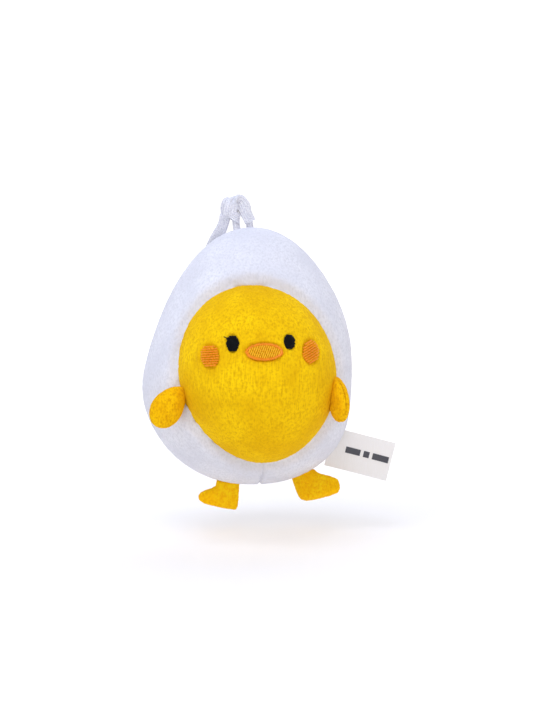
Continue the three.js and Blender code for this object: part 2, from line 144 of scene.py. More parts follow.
for name, place, size, power, colour in (
    ("key_softbox", (-0.14, -0.3, 0.55), 0.5, 2.95, "E4ECFF"),
    ("fill_softbox", (0.45, -0.5, 0.1), 0.5, 0.45, "FFEFE2"),
    ("rim_softbox", (0.1, 0.45, 0.5), 0.5, 1.2, "EAF0FF"),
):
    lamp = bpy.data.lights.new(name, "AREA")
    lamp.size, lamp.energy, lamp.color = size, power, linear(colour)[:3]
    holder = bpy.data.objects.new(name, lamp)
    bpy.context.scene.collection.objects.link(holder)
    holder.location = EGG_CENTRE + Vector(place)
    holder.rotation_euler = (EGG_CENTRE - holder.location).to_track_quat("-Z", "Y").to_euler()

outward = Vector(
    (
        math.sin(CAMERA_AZIMUTH) * math.cos(CAMERA_RISE),
        -math.cos(CAMERA_AZIMUTH) * math.cos(CAMERA_RISE),
        math.sin(CAMERA_RISE),
    )
)
camera = bpy.data.objects.new("camera", bpy.data.cameras.new("camera"))
bpy.context.scene.collection.objects.link(camera)
bpy.context.scene.camera = camera
look = (-outward).to_track_quat("-Z", "Y") @ Quaternion((0, 0, 1), CAMERA_ROLL)
aim = EGG_CENTRE + look @ Vector((AIM_RIGHT, 0, 0))
camera.location = aim + outward * CAMERA_DISTANCE
camera.rotation_mode = "QUATERNION"
camera.rotation_quaternion = look
camera.data.lens = CAMERA_LENS
camera.data.clip_start, camera.data.clip_end = 0.01, 10
bpy.context.scene.view_settings.view_transform = "Standard"

# ---------- Crown loop ----------
# A 3 mm polyester cord, pulled tight, plaited from eight flat strands, bent over into an eye. Both of its
# legs are caught in the top of the side seam.

LOOP_CORD = 2.8 * MM
LOOP_BEND = 2.4 * MM
LOOP_LEAN = math.radians(-7)
LOOP_PLAIT_PITCH = 5.6 * MM
COVER_Z = -6 * MM  # where the legs meet the cover
LEG_END = COVER_Z - 3 * MM


def spaced(points, count):
    """Points spread evenly along a smooth curve through the given ones."""
    given = np.array(points, float)
    ends = np.vstack([2 * given[0] - given[1], given, 2 * given[-1] - given[-2]])
    fine = []
    for a, b, c, d in zip(ends, ends[1:], ends[2:], ends[3:]):
        for t in np.linspace(0, 1, 24, endpoint=False):
            straight = 2 * b + (c - a) * t
            curved = (2 * a - 5 * b + 4 * c - d) * t**2 + (3 * b - a - 3 * c + d) * t**3
            fine.append(0.5 * (straight + curved))
    fine = np.array(fine + [given[-1]])
    run = np.concatenate([[0], np.cumsum(np.linalg.norm(np.diff(fine, axis=0), axis=1))])
    at = np.linspace(0, run[-1], count)
    return np.column_stack([np.interp(at, run, fine[:, k]) for k in range(3)])


def frames(route, across):
    """Unit tangents, and the across directions made square to them, along a route."""
    along = np.gradient(route, axis=0)
    along /= np.linalg.norm(along, axis=1)[:, None]
    across = np.broadcast_to(np.array(across, float), route.shape).copy()
    across -= (across * along).sum(1)[:, None] * along
    across /= np.linalg.norm(across, axis=1)[:, None]
    return along, across


def swept(name, strips):
    """One mesh of closed bars. Each strip is a route, its across directions and its section,
    a closed loop of (across, up) pairs that may change along the route."""
    points, faces = [], []
    for route, across, section in strips:
        along, across = frames(route, across)
        up = np.cross(along, across)
        section = np.broadcast_to(section, (len(route), *np.shape(section)[-2:]))
        sides = section.shape[1]
        start = len(points)
        rings = (
            route[:, None] + section[..., :1] * across[:, None] + section[..., 1:] * up[:, None]
        )
        points.extend(rings.reshape(-1, 3).tolist())
        for i in range(len(route) - 1):
            for j in range(sides):
                a, b = start + i * sides + j, start + i * sides + (j + 1) % sides
                faces.append((a, b, b + sides, a + sides))
        last = start + (len(route) - 1) * sides
        faces.append(tuple(range(start + sides - 1, start - 1, -1)))
        faces.append(tuple(range(last, last + sides)))
    mesh = bpy.data.meshes.new(name)
    mesh.from_pydata(points, [], faces)
    made = bpy.data.objects.new(name, mesh)
    bpy.context.scene.collection.objects.link(made)
    only(made)
    bpy.ops.object.mode_set(mode="EDIT")
    bpy.ops.mesh.select_all(action="SELECT")
    bpy.ops.mesh.normals_make_consistent(inside=False)
    bpy.ops.object.mode_set(mode="OBJECT")
    bpy.ops.object.shade_smooth_by_angle(angle=math.radians(50))
    return made


def only(obj):
    """Selects one object and makes it the active one."""
    bpy.ops.object.select_all(action="DESELECT")
    obj.select_set(True)
    bpy.context.view_layer.objects.active = obj


def oval(width, height, sides=8):
    """An oval section."""
    turn = np.arange(sides) / sides * 2 * math.pi
    return np.column_stack([width / 2 * np.cos(turn), height / 2 * np.sin(turn)])


def plait(name, route, across, diameter, strands, pitch):
    """A round plait: half the strands turn one way, half the other, over and under each other.
    Its sizes are shares of the diameter, and a plain core closes its middle."""
    along, side = frames(route, across)
    up = np.cross(along, side)
    run = np.concatenate([[0], np.cumsum(np.linalg.norm(np.diff(route, axis=0), axis=1))])
    strips = []
    for k in range(strands):
        way = 1 if k % 2 else -1
        turn = way * (run / pitch * 2 * math.pi) + (k // 2) * 4 * math.pi / strands
        weave = np.sin(run / pitch * 2 * math.pi * strands / 2 + k * math.pi)
        reach = diameter * (0.36 + 0.05 * weave)[:, None]
        out = np.cos(turn)[:, None] * side + np.sin(turn)[:, None] * up
        line = route + reach * out
        strips.append((line, np.cross(along, out), oval(diameter * 0.36, diameter * 0.22, 6)))
    strips.append((route, side, oval(diameter * 0.6, diameter * 0.6)))
    return swept(name, strips)


def polyester_weave(name, light, shade, spacing):
    """Woven polyester: satiny filament yarn, whose rows of thread show as fine ridges, with painted shade
    in the grooves between them.
    """
    made, tree, out = material(name)
    place = node(tree, "TexCoord")
    rows = node(
        tree, "TexNoise", {"Vector": place.outputs["Object"]}, Scale=1 / spacing, Detail=3, Roughness=0.6
    )
    # Painted shade: the colour darkens where the ridge height is low.
    ramp = node(tree, "ValToRGB", {"Fac": rows.outputs["Fac"]})
    ramp.color_ramp.elements[0].position, ramp.color_ramp.elements[1].position = 0.35, 0.62
    ramp.color_ramp.elements[0].color = linear(shade)
    ramp.color_ramp.elements[1].color = linear(light)
    bump = node(
        tree, "Bump", {"Height": rows.outputs["Fac"]}, Strength=0.35, Distance=spacing * 0.4
    )
    cloth = node(
        tree,
        "BsdfPrincipled",
        {"Base Color": ramp.outputs["Color"], "Normal": bump.outputs["Normal"]},
        Roughness=0.62,
    )
    cloth.inputs["Sheen Weight"].default_value = 0.35
    cloth.inputs["Sheen Roughness"].default_value = 0.4
    tree.links.new(cloth.outputs["BSDF"], out.inputs["Surface"])
    return made


def leaned(points):
    """Leans points of the loop over to the left, about the hang point."""
    turn = np.array(Matrix.Rotation(LOOP_LEAN, 3, "Y"))
    return np.array(points) @ turn.T


bend = np.linspace(math.pi, 0, 13)
loop_route = leaned(
    [(-LOOP_BEND, 0, LEG_END), (-LOOP_BEND, 0, LEG_END * 0.5)]
    + [(LOOP_BEND * math.cos(a), 0, LOOP_BEND * math.sin(a)) for a in bend]
    + [(LOOP_BEND, 0, LEG_END * 0.5), (LOOP_BEND, 0, LEG_END)]
)
# Its second colour is painted shade in the grooves of the weave.
WHITE_CORD = polyester_weave("white polyester cord", "F4F4F8", "C9C9D6", 0.35 * MM)
crown_loop = plait("crown_loop_cord", spaced(loop_route, 90), (0, 1, 0), LOOP_CORD, 8, LOOP_PLAIT_PITCH)
crown_loop.data.materials.append(WHITE_CORD)
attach(crown_loop, "toy")
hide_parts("crown_loop")

# ---------- Strap ----------
# A 5 mm woven polyester ribbon in two plies. It is hitched over the top of the crown loop, slips
# behind the crown on the left and hangs down the back to the key ring.

RIBBON_WIDTH = 5 * MM
RIBBON_PLY = 1.0 * MM
PLY_OFFSET = 0.56 * MM
STRAP_ROUTE = [  # in mm
    (-5.8, 1.0, -2.6),
    (-5.9, 2.0, -4.2),
    (-6.4, 3.0, -6.0),
    (-7.2, 4.2, -7.8),
    (-8.3, 5.8, -9.7),
    (-9.4, 7.9, -11.8),
    (-10.4, 10.4, -14.3),
    (-11.6, 13.2, -17.5),
    (-12.9, 15.9, -21.3),
    (-14.1, 18.5, -25.6),
    (-15.1, 21.0, -30.1),
    (-15.8, 23.2, -34.6),
    (-16.0, 25.2, -39.3),
    (-16.0, 27.1, -44.1),
    (-16.0, 28.7, -49.0),
    (-16.0, 30.0, -53.9),
    (-16.0, 30.9, -58.9),
]


def ribbon_section(width, thickness, ribs):
    """A flat woven ribbon's section, with fine ridges along its length on both faces."""
    across = np.linspace(-0.5, 0.5, 4 * ribs + 1)
    edge = np.sqrt(np.clip(1 - np.abs(2 * across) ** 6, 0, 1))
    face = (0.42 + 0.08 * np.cos(across * ribs * 2 * math.pi)) * edge
    top = np.column_stack([across * width, face * thickness])
    bottom = np.column_stack([across[::-1] * width, -face[::-1] * thickness])
    return np.vstack([top, bottom[1:-1]])


def shifted(route, across, distance):
    """A route moved sideways, along its own upward normal."""
    along, side = frames(route, across)
    return route + np.cross(along, side) * distance


strap_route = spaced(np.array(STRAP_ROUTE) * MM, 70)
falls = np.linspace(0, 1, len(strap_route))[:, None]
TOP_ACROSS = np.array((0.75, 0.1, -0.5))  # the way its width lies, at the hitch and at the ring
END_ACROSS = np.array((1, 0, 0))
strap_across = (1 - falls) * TOP_ACROSS + falls * END_ACROSS
ribbon = ribbon_section(RIBBON_WIDTH, RIBBON_PLY, 6)
bunched = np.interp(falls[:, 0], (0, 0.3), (0.76, 1))  # it is drawn together near the hitch
ribbon = ribbon[None] * np.column_stack([bunched, np.ones(len(bunched))])[:, None]
strap = swept(
    "strap_ribbon",
    [
        (shifted(strap_route, strap_across, PLY_OFFSET), strap_across, ribbon),
        (shifted(strap_route, strap_across, -PLY_OFFSET), strap_across, ribbon),
    ],
)
strap.data.materials.append(WHITE_CORD)

# ---------- Key ring ----------
# A split ring: two turns of flattened steel wire, nickel plated, sprung together.

ring_low, ring_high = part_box("key_ring")
RING_CENTRE = (ring_low + ring_high) / 2
RING_DIAMETER = ring_high.x - ring_low.x
RING_WIRE = 1.7 * MM
RING_TURN = (ring_high.y - ring_low.y) / 2

# Bright nickel plate, with a duller bloom where it has been handled.
nickel, tree, out = material("nickel plated steel")
place = node(tree, "TexCoord")
scuffs = node(tree, "TexNoise", {"Vector": place.outputs["Object"]}, Scale=1 / (0.9 * MM), Detail=4)
gloss = node(tree, "MapRange", {"Value": scuffs.outputs["Fac"]})
gloss.inputs["To Min"].default_value, gloss.inputs["To Max"].default_value = 0.14, 0.34
plate = node(
    tree,
    "BsdfPrincipled",
    {"Roughness": gloss.outputs["Result"]},
    Base_Color=linear("CFCBC4"),
    Metallic=1,
)
tree.links.new(plate.outputs["BSDF"], out.inputs["Surface"])

bpy.ops.mesh.primitive_circle_add(vertices=12, radius=RING_WIRE / 2, fill_type="NOTHING")
key_ring = bpy.context.object
key_ring.name = "split_ring"
wire_radius = (RING_DIAMETER - RING_WIRE) / 2
for corner in key_ring.data.vertices:
    corner.co = (wire_radius + corner.co.x, 0, corner.co.y * RING_TURN / RING_WIRE * 0.97)
coil = key_ring.modifiers.new("coil", "SCREW")
coil.axis, coil.angle, coil.iterations = "Z", math.radians(355), 2
coil.screw_offset, coil.steps, coil.render_steps = RING_TURN, 56, 56
bpy.ops.object.modifier_apply(modifier="coil")
bpy.ops.object.mode_set(mode="EDIT")
bpy.ops.mesh.select_all(action="SELECT")
bpy.ops.mesh.remove_doubles(threshold=0.00001)
bpy.ops.mesh.select_all(action="DESELECT")
bpy.ops.mesh.select_non_manifold()
bpy.ops.mesh.edge_face_add()
bpy.ops.mesh.select_all(action="SELECT")
bpy.ops.mesh.normals_make_consistent(inside=False)
bpy.ops.object.mode_set(mode="OBJECT")
coil_low = min(v.co.z for v in key_ring.data.vertices)
coil_high = max(v.co.z for v in key_ring.data.vertices)
key_ring.data.transform(Matrix.Translation((0, 0, -(coil_low + coil_high) / 2)))
key_ring.data.transform(Matrix.Rotation(math.radians(-60), 4, "Z"))
key_ring.data.transform(Matrix.Rotation(math.pi / 2, 4, "X"))
key_ring.data.transform(Matrix.Translation(RING_CENTRE))
bpy.ops.object.shade_smooth_by_angle(angle=math.radians(50))
key_ring.data.materials.append(nickel)
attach(key_ring, "ring")
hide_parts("key_ring")

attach(strap, "strap")
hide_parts("strap_tail")

# ---------- White cover ----------
# Short-pile polyester plush in three panels: a front with an opening for the belly, and two
# backs. They are sewn inside out, turned and stuffed hard, so that each seam draws in a little.

EGG_HALF = Vector(((egg_high.x - egg_low.x) / 2, back_high.y, (egg_high.z - egg_low.z) / 2))
EGG_TAPER = 0.2  # how much narrower the top is than the bottom
EGG_FULLNESS = 2.1
PLUSH = 1.2 * MM
SEAM_DEPTH = 0.8 * MM
SEAM_REACH = 2.2 * MM
SEAM_LAP = 0.45 * MM
LIP_DEPTH, LIP_REACH = 1.3 * MM, 1.3 * MM  # the cloth dips where it meets the belly
ROLL_HEIGHT, ROLL_PLACE, ROLL_REACH = 0.7 * MM, 3.4 * MM, 2.2 * MM  # and swells beside that
SAG, SAG_DROP, SAG_REACH = 2.3 * MM, 13 * MM, 17 * MM
CREASE_DEPTH, CREASE_REACH, CREASE_SIDE = 0.75 * MM, 0.45 * MM, 2 * MM
CREASE_SLANT = 0.05
SOLVE_SCALE = 10  # the cloth solver is steadier on a larger shape
SOLVE_STEPS = 20
TUFT_SIZE = 0.9 * MM
FIBRE_SIZE = 0.5 * MM

belly_low, belly_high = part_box("belly_cover")
BELLY_CENTRE = Vector(
    ((belly_low.x + belly_high.x) / 2 + 0.5 * MM, -17 * MM, (belly_low.z + belly_high.z) / 2)
)
BELLY_HALF = Vector((28.3 * MM, 26 * MM, 31.8 * MM))
BELLY_POINT = 0.1  # how much the belly narrows towards its lower tip
BELLY_SKEW = -0.055  # it is sewn in a little askew, its tip to the right


def spots(piece):
    """The vertex positions of a piece, as rows."""
    found = np.empty(len(piece.data.vertices) * 3)
    piece.data.vertices.foreach_get("co", found)
    return found.reshape(-1, 3)


def set_spots(piece, places):
    """Moves the vertices of a piece."""
    piece.data.vertices.foreach_set("co", np.asarray(places, np.float32).ravel())
    piece.data.update()


def normals(piece):
    """The vertex normals of a piece, as rows."""
    found = np.empty(len(piece.data.vertices) * 3, np.float32)
    piece.data.vertex_normals.foreach_get("vector", found)
    return found.reshape(-1, 3).astype(float)


def finish_modifier(piece, kind, **settings):
    """Adds a modifier with its settings, and applies it."""
    only(piece)
    made = piece.modifiers.new(kind.lower(), kind)
    for key, value in settings.items():
        setattr(made, key, value)
    bpy.ops.object.modifier_apply(modifier=made.name)


def egg_share(rise):
    """The egg's half width at a height share from -1 to 1."""
    return (1 - EGG_TAPER * rise) * (1 - np.abs(rise) ** EGG_FULLNESS) ** (1 / EGG_FULLNESS)


EGG_WIDEST = egg_share(np.linspace(-1, 1, 401)).max()


def belly_reach(places):
    """How far a place is from the belly's middle, seen from the front, where 1 is its edge."""
    askew = BELLY_SKEW * (places[:, 2] - BELLY_CENTRE.z)
    across = (places[:, 0] - BELLY_CENTRE.x - askew) / BELLY_HALF.x
    rise = (places[:, 2] - BELLY_CENTRE.z) / BELLY_HALF.z
    across = across / (1 - BELLY_POINT * np.clip(-rise, 0, 1) ** 2)
    return np.hypot(across, rise)


def stuffed(piece, held, pressure, cap):
    """Presses a closed cover outwards from inside with the cloth solver, held along its seams.
    No point moves further than cap."""
    before = spots(piece)
    set_spots(piece, before * SOLVE_SCALE)
    seam = piece.vertex_groups.new(name="seam")
    seam.add([int(i) for i in np.nonzero(held)[0]], 1, "REPLACE")
    only(piece)
    cloth = piece.modifiers.new("stuffing", "CLOTH")
    cloth.settings.use_pressure = True
    cloth.settings.uniform_pressure_force = pressure
    cloth.settings.effector_weights.gravity = 0
    cloth.settings.vertex_group_mass = "seam"
    cloth.point_cache.frame_start, cloth.point_cache.frame_end = 1, SOLVE_STEPS
    for step in range(1, SOLVE_STEPS + 1):
        bpy.context.scene.frame_set(step)
    bpy.ops.object.modifier_apply(modifier="stuffing")
    bpy.context.scene.frame_set(1)
    moved = spots(piece) / SOLVE_SCALE - before
    length = np.linalg.norm(moved, axis=1)
    share = np.minimum(1, cap / np.maximum(length, 1e-9))
    set_spots(piece, before + moved * share[:, None])
    piece.vertex_groups.clear()


def panel(source, name, keep):
    """A copy of the faces whose middles keep() picks, as its own piece."""
    made = source.copy()
    made.data = source.data.copy()
    made.name = made.data.name = name
    bpy.context.scene.collection.objects.link(made)
    only(made)
    middles = np.empty(len(made.data.polygons) * 3)
    made.data.polygons.foreach_get("center", middles)
    drop = ~keep(middles.reshape(-1, 3))
    bpy.ops.object.mode_set(mode="EDIT")
    bpy.ops.mesh.select_mode(type="FACE")
    bpy.ops.mesh.select_all(action="DESELECT")
    bpy.ops.object.mode_set(mode="OBJECT")
    made.data.polygons.foreach_set("select", drop)
    bpy.ops.object.mode_set(mode="EDIT")
    bpy.ops.mesh.delete(type="FACE")
    bpy.ops.object.mode_set(mode="OBJECT")
    return made


def piled(piece, tuft, depth, lay=(1, 1, 1)):
    """Raises the pile as tufts of the given width and depth, drawn out along lay."""
    grain = bpy.data.textures.new("pile", "CLOUDS")
    grain.noise_scale = tuft
    grain.noise_depth = 2
    guide = bpy.data.objects.new("pile_lay", None)
    bpy.context.scene.collection.objects.link(guide)
    guide.scale = lay
    bpy.context.view_layer.update()
    finish_modifier(
        piece,
        "DISPLACE",
        texture=grain,
        texture_coords="OBJECT",
        texture_coords_object=guide,
        strength=depth,
        mid_level=0.5,
    )
    bpy.data.objects.remove(guide)
    bpy.ops.object.shade_smooth()


def plush(name, bright, mid, painted_valley_shade, streak=2.2, blotch=9, sheen=0.5):
    """Knitted polyester plush: a matt pile with painted shade between its tufts and fibres, lighter and
    darker in random patches whose lighter ones are painted highlights where the pile leans over, and a
    soft sheen along its edges. Its fibres lie down the piece. Real fibres are about 0.05 mm thick, so
    tufts and fibres are drawn as coarse as they need to show."""
    made, tree, out = material(name)
    place = node(tree, "TexCoord").outputs["Object"]
    tone_and_lay_highlight = node(
        tree, "TexNoise", {"Vector": place}, Scale=1 / (blotch * MM), Detail=3, Roughness=0.55
    )
    tufts = node(tree, "TexNoise", {"Vector": place}, Scale=1 / TUFT_SIZE, Detail=2, Roughness=0.5)
    down = node(tree, "Mapping", {"Vector": place}, Scale=(1, 1, 1 / streak / 2))
    fibres = node(tree, "TexNoise", {"Vector": down.outputs["Vector"]}, Scale=1 / FIBRE_SIZE, Detail=2)
    # Random tone patches of the pile; the lighter ones are painted highlights where the pile leans over.
    lay = node(tree, "MapRange", {"Value": tone_and_lay_highlight.outputs["Fac"]})
    lay.inputs["From Min"].default_value, lay.inputs["From Max"].default_value = 0.36, 0.66
    top = node(tree, "Mix", {"Factor": lay.outputs["Result"]}, data_type="RGBA")
    top.inputs[6].default_value, top.inputs[7].default_value = linear(mid), linear(bright)
    pile = node(
        tree, "Math", {0: tufts.outputs["Fac"], 1: fibres.outputs["Fac"]}, operation="ADD"
    )
    # The third colour is painted shade, laid into the valleys between tufts and fibre streaks.
    depth = node(tree, "MapRange", {"Value": pile.outputs["Value"]})
    depth.inputs["From Min"].default_value, depth.inputs["From Max"].default_value = 0.7, 1.12
    colour = node(
        tree, "Mix", {"Factor": depth.outputs["Result"], 7: top.outputs[2]}, data_type="RGBA"
    )
    colour.inputs[6].default_value = linear(painted_valley_shade)
    bump = node(tree, "Bump", {"Height": pile.outputs["Value"]}, Strength=0.4, Distance=0.3 * MM)
    cloth = node(
        tree,
        "BsdfPrincipled",
        {"Base Color": colour.outputs[2], "Normal": bump.outputs["Normal"]},
        Roughness=0.95,
        IOR=1.45,
    )
    cloth.inputs["Specular IOR Level"].default_value = 0.15
    cloth.inputs["Sheen Weight"].default_value = sheen
    cloth.inputs["Sheen Roughness"].default_value = 0.45
    cloth.inputs["Sheen Tint"].default_value = linear(bright)
    tree.links.new(cloth.outputs["BSDF"], out.inputs["Surface"])
    return made


def sag(height):
    """How far the soft egg leans to its left at a height: most of all a little below its middle."""
    return -SAG * np.exp(-(((height - EGG_CENTRE.z + SAG_DROP) / SAG_REACH) ** 2))


def from_back_seam(places):
    """How far to the right of the upright back seam a place is."""
    return places[:, 0] - EGG_CENTRE.x - sag(places[:, 2])


def egg_shaped(ball, inset):
    """Moves the points of a unit ball to the egg's surface, or to an inset inside it."""
    rise = np.clip(np.sign(ball[:, 2]) * np.abs(ball[:, 2]) ** (2 / EGG_FULLNESS), -1, 1)
    ground = np.hypot(ball[:, 0], ball[:, 1])
    width = egg_share(rise) / EGG_WIDEST / np.maximum(ground, 1e-6)
    width[ground < 1e-5] = 0
    places = np.column_stack([ball[:, 0] * width, ball[:, 1] * width, rise])
    places = places * (np.array(EGG_HALF) - inset) + np.array(EGG_CENTRE)
    places[:, 0] += sag(places[:, 2])
    return places


bpy.ops.mesh.primitive_uv_sphere_add(segments=96, ring_count=64, radius=1)
egg = bpy.context.object
egg_places = egg_shaped(spots(egg), 0.6 * MM)
set_spots(egg, egg_places)
side_seam = np.abs(egg_places[:, 1]) < 0.01 * MM
back_seam = (np.abs(from_back_seam(egg_places)) < 0.01 * MM) & (egg_places[:, 1] > 0)
belly_edge = (np.abs(belly_reach(egg_places) - 1) < 0.03) & (egg_places[:, 1] < 0)
stuffed(egg, side_seam | back_seam | belly_edge, pressure=4, cap=1 * MM)

egg_places = spots(egg)
from_side = np.abs(egg_places[:, 1])
from_back = np.where(egg_places[:, 1] > 0, np.abs(from_back_seam(egg_places)), 1)
tip_low = BELLY_CENTRE.z - BELLY_HALF.z + 6 * MM
drawn = SEAM_DEPTH * (
    np.exp(-((from_side / SEAM_REACH) ** 2)) + np.exp(-((from_back / SEAM_REACH) ** 2))
)
past_belly = (belly_reach(egg_places) - 1) * BELLY_HALF.x
front = egg_places[:, 1] < 0
drawn += np.where(front, LIP_DEPTH * np.exp(-((past_belly / LIP_REACH) ** 2)), 0)
rolled = ROLL_HEIGHT * np.exp(-(((past_belly - ROLL_PLACE) / ROLL_REACH) ** 2))
drawn -= np.where(front, rolled, 0)
set_spots(egg, egg_places - normals(egg) * drawn[:, None])

# Its third colour is painted shade between the tufts; its first is also a painted highlight in lighter
# patches.
WHITE_PLUSH = plush("white plush", "E9E9EF", "DDDDE5", "D5D5DC", streak=1.3, blotch=13, sheen=0.12)


def rim(piece):
    """Which vertices of an open piece lie on its cut edge."""
    edges = np.empty(len(piece.data.edges) * 2, np.int32)
    piece.data.edges.foreach_get("vertices", edges)
    used = np.empty(len(piece.data.loops), np.int32)
    piece.data.loops.foreach_get("edge_index", used)
    single = np.bincount(used, minlength=len(piece.data.edges)) == 1
    on_rim = np.zeros(len(piece.data.vertices), bool)
    on_rim[edges.reshape(-1, 2)[single].ravel()] = True
    return on_rim


def front_crease(places):
    """The depth of the short upright seam that closes the front below the belly."""
    line = BELLY_CENTRE.x + CREASE_SIDE + CREASE_SLANT * (places[:, 2] - tip_low)
    below = (places[:, 1] < -1 * MM) & (places[:, 2] < tip_low)
    depth = CREASE_DEPTH * np.exp(-(((places[:, 0] - line) / CREASE_REACH) ** 2))
    return np.where(below, depth, 0)


def cover(name, keep):
    """Cuts one panel out of the stuffed egg, gives it its cloth's thickness and its pile. Its
    edges lap a little over the seams, where the pile of two panels closes."""
    made = panel(egg, name + "_plush", keep)
    places = spots(made)
    on_rim = rim(made)
    on_side = on_rim & (np.abs(places[:, 1]) < 0.3 * MM)
    on_back = on_rim & (np.abs(from_back_seam(places)) < 0.3 * MM) & (places[:, 1] > 0)
    middle = places.mean(0)
    places[on_side, 1] -= SEAM_LAP * np.sign(middle[1])
    places[on_back, 0] -= SEAM_LAP * np.sign(middle[0] - EGG_CENTRE.x)
    set_spots(made, places)
    finish_modifier(made, "SOLIDIFY", thickness=PLUSH, offset=-1)
    finish_modifier(made, "SUBSURF", levels=2, render_levels=2)
    places = spots(made)
    inward = np.array(EGG_CENTRE) - places
    inward /= np.linalg.norm(inward, axis=1)[:, None]
    set_spots(made, places + inward * front_crease(places)[:, None])
    piled(made, 1.6 * MM, 0.24 * MM)
    made.data.materials.append(WHITE_PLUSH)
    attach(made, "toy")
    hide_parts(name)


for name, keep in (
    ("shell_front", lambda at: (at[:, 1] < 0) & (belly_reach(at) > 0.955)),
    ("shell_back_left", lambda at: (at[:, 1] > 0) & (from_back_seam(at) < 0)),
    ("shell_back_right", lambda at: (at[:, 1] > 0) & (from_back_seam(at) > 0)),
):
    cover(name, keep)
bpy.data.objects.remove(egg)

# ---------- Belly and face cloth ----------
# One round panel of yellow plush over its own ball of stuffing, let into the white front.
# The embroidery presses its pile down, and a ring of pile stands up around each patch.

FACE = {  # middle across and up from the belly's middle, width and height, in mm
    "eye_left": (-9.6, 11.1, 3.7, 5.4),
    "eye_right": (9.5, 11.5, 3.4, 5.0),
    "beak": (0.9, 8.3, 12.2, 5.7),
    "cheek_left": (-17.2, 6.9, 5.6, 7.8),
    "cheek_right": (17.1, 8.0, 5.6, 7.6),
}


def dome_forward(across, rise):
    """The depth of the belly's cloth at a place across and up from its middle."""
    across = across - BELLY_SKEW * rise
    narrowed = across / BELLY_HALF.x / (1 - BELLY_POINT * np.clip(-rise / BELLY_HALF.z, 0, 1) ** 2)
    reach = np.clip(1 - narrowed**2 - (rise / BELLY_HALF.z) ** 2, 0, 1)
    return BELLY_CENTRE.y - BELLY_HALF.y * np.sqrt(reach)


def belly_shaped(ball, inset):
    """Moves the points of a unit ball to the belly's surface, or to an inset inside it."""
    narrow = ball * 1
    narrow[:, 0] *= 1 - BELLY_POINT * np.clip(-ball[:, 2], 0, 1) ** 2
    places = narrow * (np.array(BELLY_HALF) - inset) + np.array(BELLY_CENTRE)
    places[:, 0] += BELLY_SKEW * (places[:, 2] - BELLY_CENTRE.z)
    return places


bpy.ops.mesh.primitive_uv_sphere_add(segments=84, ring_count=56, radius=1)
belly = bpy.context.object
belly_places = belly_shaped(spots(belly), 0.4 * MM)
set_spots(belly, belly_places)
stuffed(belly, belly_places[:, 1] > BELLY_CENTRE.y - 2 * MM, pressure=4, cap=0.8 * MM)

# Its third colour is painted shade between the tufts; its first is also a painted highlight in lighter
# patches.
YELLOW_PLUSH = plush("yellow plush", "FED20A", "ECBA04", "DDA802", streak=4, blotch=12, sheen=0.12)
belly_piece = panel(
    belly, "belly_cover_plush", lambda at: at[:, 1] < BELLY_CENTRE.y + 2.5 * MM
)
bpy.data.objects.remove(belly)
finish_modifier(belly_piece, "SOLIDIFY", thickness=PLUSH, offset=-1)
finish_modifier(belly_piece, "SUBSURF", levels=2, render_levels=2)
PRESS_DEPTH = 0.75 * MM
RING_HEIGHT = 0.3 * MM
places = spots(belly_piece)
pressed = np.zeros(len(places))
for across, rise, patch_width, patch_height in FACE.values():
    edge = np.hypot(
        (places[:, 0] - BELLY_CENTRE.x - across * MM) / (patch_width / 2 * MM),
        (places[:, 2] - BELLY_CENTRE.z - rise * MM) / (patch_height / 2 * MM),
    )
    inside = 1 / (1 + np.exp((edge - 1) * 12))
    ring = np.exp(-(((edge - 1.35) / 0.22) ** 2))
    pressed += PRESS_DEPTH * inside - RING_HEIGHT * ring
set_spots(belly_piece, places - normals(belly_piece) * pressed[:, None])
piled(belly_piece, 0.9 * MM, 0.4 * MM, (1, 1, 2.6))
belly_piece.data.materials.append(YELLOW_PLUSH)
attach(belly_piece, "toy")
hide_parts("belly_cover")

# ---------- Embroidered face ----------
# Rayon thread in satin and fill stitch. Each stitch is a short arch of thread whose ends go
# down through the plush.

THREAD = 0.5 * MM  # a little thicker than the real 0.4 mm, so that single stitches show


def thread(name, light, shade, twist=0.45, gloss=0.4):
    """Twisted rayon embroidery thread: a smooth fibre in its own colour, drawn lighter as a painted silky
    highlight and darker as painted shade across its twist.
    """
    made, tree, out = material(name)
    place = node(tree, "TexCoord").outputs["Object"]
    ply = node(tree, "TexNoise", {"Vector": place}, Scale=1 / (twist * MM), Detail=3)
    # Painted highlight and painted shade across the twist of the ply.
    mix = node(tree, "Mix", {"Factor": ply.outputs["Fac"]}, data_type="RGBA")
    mix.inputs[6].default_value, mix.inputs[7].default_value = linear(shade), linear(light)
    bump = node(tree, "Bump", {"Height": ply.outputs["Fac"]}, Strength=0.3, Distance=0.1 * MM)
    yarn = node(
        tree,
        "BsdfPrincipled",
        {"Base Color": mix.outputs[2], "Normal": bump.outputs["Normal"]},
        Roughness=0.42,
    )
    yarn.inputs["Specular IOR Level"].default_value = gloss
    tree.links.new(yarn.outputs["BSDF"], out.inputs["Surface"])
    return made


chance = np.random.default_rng(7)


